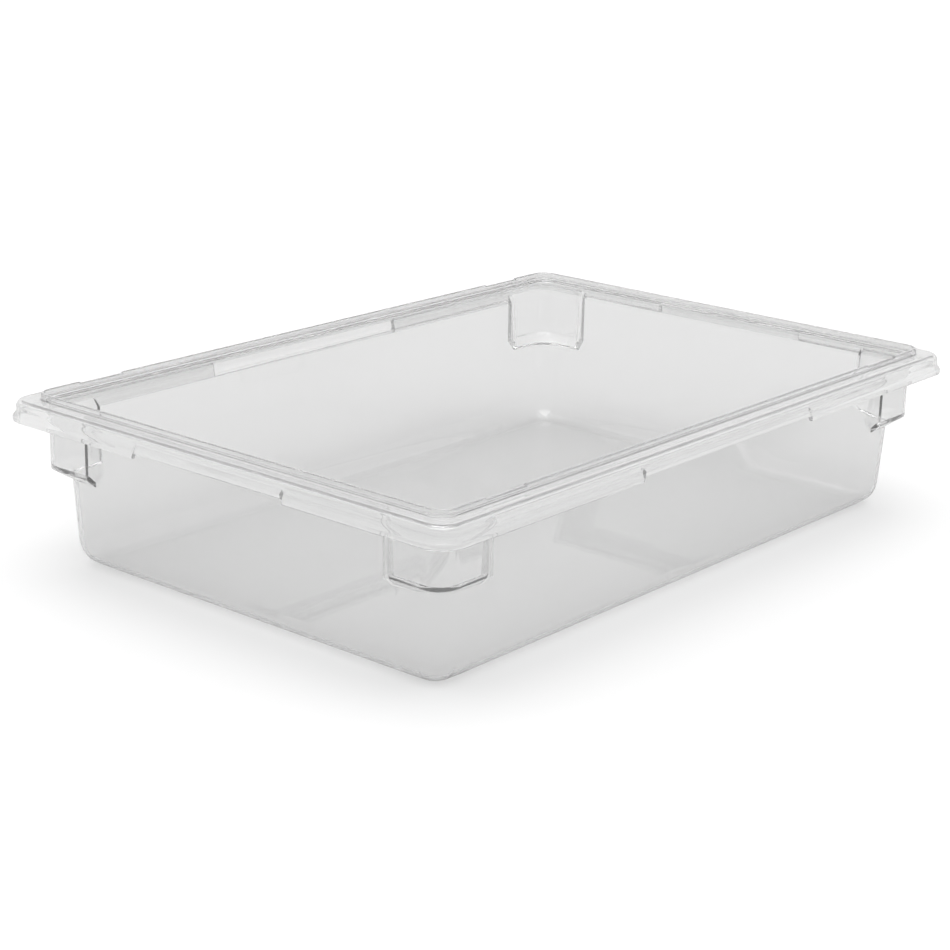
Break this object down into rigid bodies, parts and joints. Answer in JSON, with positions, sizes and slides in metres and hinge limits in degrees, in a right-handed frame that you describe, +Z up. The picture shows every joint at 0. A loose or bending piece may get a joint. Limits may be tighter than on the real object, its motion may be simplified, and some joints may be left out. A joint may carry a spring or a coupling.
{
  "type": "food storage pan",
  "caption": "Clear rectangular catering food pan with rolled base, corner stacking shoulders, raised lid ridge and a skirted rim with finger grips.",
  "frame": {"origin": "centre of the base, on the surface the pan stands on", "axes": "+X along the long side, +Y along the short side towards the back, +Z up through the open mouth"},
  "size_m": [0.6604, 0.4572, 0.14],
  "materials": {
    "clear_polycarbonate": "clear moulded polycarbonate, smooth"
  },
  "bodies": {
    "root": {"base_corner_back_left": "clear_polycarbonate", "base_corner_back_right": "clear_polycarbonate", "base_corner_front_left": "clear_polycarbonate", "base_corner_front_right": "clear_polycarbonate", "base_roll_back": "clear_polycarbonate", "base_roll_front": "clear_polycarbonate", "base_roll_left": "clear_polycarbonate", "base_roll_right": "clear_polycarbonate", "corner_post_back_left": "clear_polycarbonate", "corner_post_back_right": "clear_polycarbonate", "corner_post_front_left": "clear_polycarbonate", "corner_post_front_right": "clear_polycarbonate", "flange_back": "clear_polycarbonate", "flange_corner_back_left": "clear_polycarbonate", "flange_corner_back_right": "clear_polycarbonate", "flange_corner_front_left": "clear_polycarbonate", "flange_corner_front_right": "clear_polycarbonate", "flange_front": "clear_polycarbonate", "flange_left": "clear_polycarbonate", "flange_right": "clear_polycarbonate", "floor_panel": "clear_polycarbonate", "grip_recess_back": "clear_polycarbonate", "grip_recess_front": "clear_polycarbonate", "grip_recess_left": "clear_polycarbonate", "grip_recess_right": "clear_polycarbonate", "lid_ridge_back": "clear_polycarbonate", "lid_ridge_front": "clear_polycarbonate", "lid_ridge_left": "clear_polycarbonate", "lid_ridge_right": "clear_polycarbonate", "ridge_corner_back_left": "clear_polycarbonate", "ridge_corner_back_right": "clear_polycarbonate", "ridge_corner_front_left": "clear_polycarbonate", "ridge_corner_front_right": "clear_polycarbonate", "skirt_back": "clear_polycarbonate", "skirt_corner_back_left": "clear_polycarbonate", "skirt_corner_back_right": "clear_polycarbonate", "skirt_corner_front_left": "clear_polycarbonate", "skirt_corner_front_right": "clear_polycarbonate", "skirt_front": "clear_polycarbonate", "skirt_left": "clear_polycarbonate", "skirt_right": "clear_polycarbonate", "stacking_shoulder_back_left": "clear_polycarbonate", "stacking_shoulder_back_right": "clear_polycarbonate", "stacking_shoulder_front_left": "clear_polycarbonate", "stacking_shoulder_front_right": "clear_polycarbonate", "wall_back": "clear_polycarbonate", "wall_front": "clear_polycarbonate", "wall_left": "clear_polycarbonate", "wall_right": "clear_polycarbonate"}
  },
  "joints": []
}
